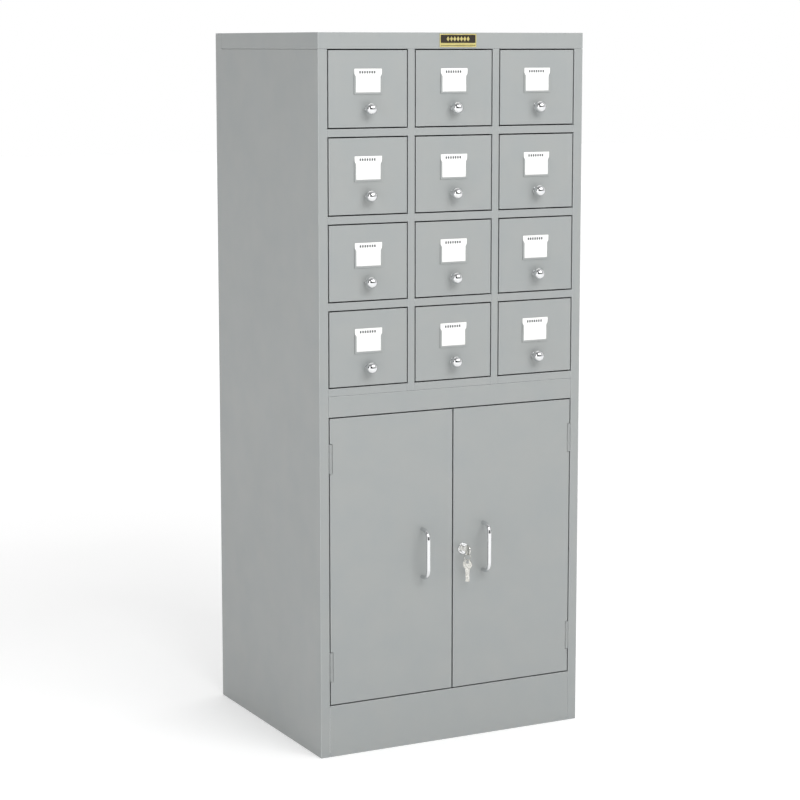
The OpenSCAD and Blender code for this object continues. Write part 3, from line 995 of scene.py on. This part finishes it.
@dataclass(frozen=True)
class SoftBox:
    """A rectangular studio light with a diffusing front."""

    name: str
    place: Vector
    aim: Vector
    width: float
    height: float
    power: float

    def hang(self) -> None:
        """Hangs the light and turns it to its aim."""
        data = bpy.data.lights.new(self.name, "AREA")
        data.shape = "RECTANGLE"
        data.size = self.width
        data.size_y = self.height
        data.energy = self.power
        lamp = bpy.data.objects.new(self.name, data)
        lamp.location = self.place
        lamp.rotation_euler = (self.aim - self.place).to_track_quat("-Z", "Y").to_euler()
        bpy.context.scene.collection.objects.link(lamp)


@dataclass(frozen=True)
class Studio:
    """The white sweep of paper, the soft boxes, the lit room and the camera."""

    paper: float = 40.0
    room_light: float = 0.53
    room_tilt: Vector = Vector((0.37, 0.33, 0.08))
    dark_way: Vector = Vector((-0.85, -0.52, 0.08))
    dark_shape: Vector = Vector((1.0, 1.0, 2.6))
    dark_core: float = 0.72
    dark_edge: float = 0.94
    dark_level: float = 0.02
    eye: Vector = Vector((-1.8307, -3.5544, 1.2073))
    yaw: float = math.radians(27.27)
    pitch: float = math.radians(-7.99)
    lens: float = 101.03
    shift: float = -0.05

    def build(self) -> None:
        """Sets up the paper, the lights, the room and the camera."""
        self.floor()
        self.room()
        SoftBox("key_light", place=Vector((0.3, -2.7, 3.0)), aim=Vector((0, 0, 0.8)),
                width=3.0, height=1.6, power=72.0).hang()
        SoftBox("fill_light", place=Vector((-3.2, -1.6, 1.6)), aim=Vector((0, 0, 0.6)),
                width=1.6, height=2.4, power=20.0).hang()
        self.camera()
        bpy.context.scene.view_settings.view_transform = "Standard"

    def floor(self) -> None:
        """Lays the paper that the cabinet stands on."""
        bm = bmesh.new()
        bmesh.ops.create_grid(bm, x_segments=4, y_segments=4, size=self.paper / 2)
        mesh = bpy.data.meshes.new("floor")
        bm.to_mesh(mesh)
        bm.free()
        mesh.materials.append(StudioPaper().material())
        sheet = bpy.data.objects.new("floor", mesh)
        bpy.context.scene.collection.objects.link(sheet)

    def room(self) -> None:
        """Lights the room: white to the eye, and to the pieces brighter on one side than the other.

        A dark patch stands for the open end of the room, which only shows in polished metal.
        """
        world = bpy.data.worlds.new("studio_room")
        world.use_nodes = True
        tree = world.node_tree
        tree.nodes.clear()
        way = add_node(tree, "ShaderNodeTexCoord").outputs["Generated"]
        tilt = add_node(tree, "ShaderNodeVectorMath", settings={"operation": "DOT_PRODUCT"},
                        inputs={1: self.room_tilt}, links={0: way})
        level = add_node(tree, "ShaderNodeMath", settings={"operation": "ADD", "use_clamp": False},
                         inputs={1: self.room_light}, links={0: tilt.outputs["Value"]})
        away = add_node(tree, "ShaderNodeVectorMath", settings={"operation": "SUBTRACT"},
                        inputs={1: self.dark_way.normalized()}, links={0: way})
        shaped = add_node(tree, "ShaderNodeVectorMath", settings={"operation": "MULTIPLY"},
                          inputs={1: self.dark_shape}, links={0: away.outputs["Vector"]})
        distance = add_node(tree, "ShaderNodeVectorMath", settings={"operation": "LENGTH"},
                            links={0: shaped.outputs["Vector"]})
        lit = add_node(tree, "ShaderNodeMapRange", settings={"interpolation_type": "SMOOTHSTEP"},
                       inputs={"From Min": self.dark_core, "From Max": self.dark_edge,
                               "To Min": self.dark_level, "To Max": 1.0},
                       links={"Value": distance.outputs["Value"]})
        strength = add_node(tree, "ShaderNodeMath", settings={"operation": "MULTIPLY"},
                            links={0: level.outputs["Value"], 1: lit.outputs["Result"]})
        room = add_node(tree, "ShaderNodeBackground", inputs={"Color": srgb("#FFFFFF")},
                        links={"Strength": strength.outputs["Value"]})
        seen = add_node(tree, "ShaderNodeBackground",
                        inputs={"Color": srgb("#FFFFFF"), "Strength": 1.0})
        ray = add_node(tree, "ShaderNodeLightPath").outputs["Is Camera Ray"]
        mix = add_node(tree, "ShaderNodeMixShader",
                       links={0: ray, 1: room.outputs["Background"], 2: seen.outputs["Background"]})
        add_node(tree, "ShaderNodeOutputWorld", links={"Surface": mix.outputs["Shader"]})
        bpy.context.scene.world = world

    def camera(self) -> None:
        """Sets up the camera, a little above half height and to the left of the front."""
        data = bpy.data.cameras.new("camera")
        data.lens = self.lens
        data.shift_y = self.shift
        eye = bpy.data.objects.new("camera", data)
        eye.location = self.eye
        level = math.cos(self.pitch)
        forward = Vector((math.sin(self.yaw) * level, math.cos(self.yaw) * level,
                          math.sin(self.pitch)))
        eye.rotation_euler = forward.to_track_quat("-Z", "Y").to_euler()
        bpy.context.scene.collection.objects.link(eye)
        bpy.context.scene.camera = eye


def main() -> None:
    logging.basicConfig(level=logging.INFO, format="%(message)s")
    Studio().build()
    SheetWork("cabinet", (
        "side_panel_left", "side_panel_right", "back_panel", "top_cap", "column_dividers",
        "front_rails", "mid_deck", "fascia_rail", "kick_plate", "cupboard_floor",
        "cupboard_shelf")).build()
    Nameplate().build()
    for row in range(1, 5):
        for column in range(1, 4):
            CardDrawer(row, column).build()
    for side in Side:
        CupboardDoor(side).build()
    CamLock().build()
    Keys().build()
    Hardware().build()


if __name__ == "__main__":
    main()
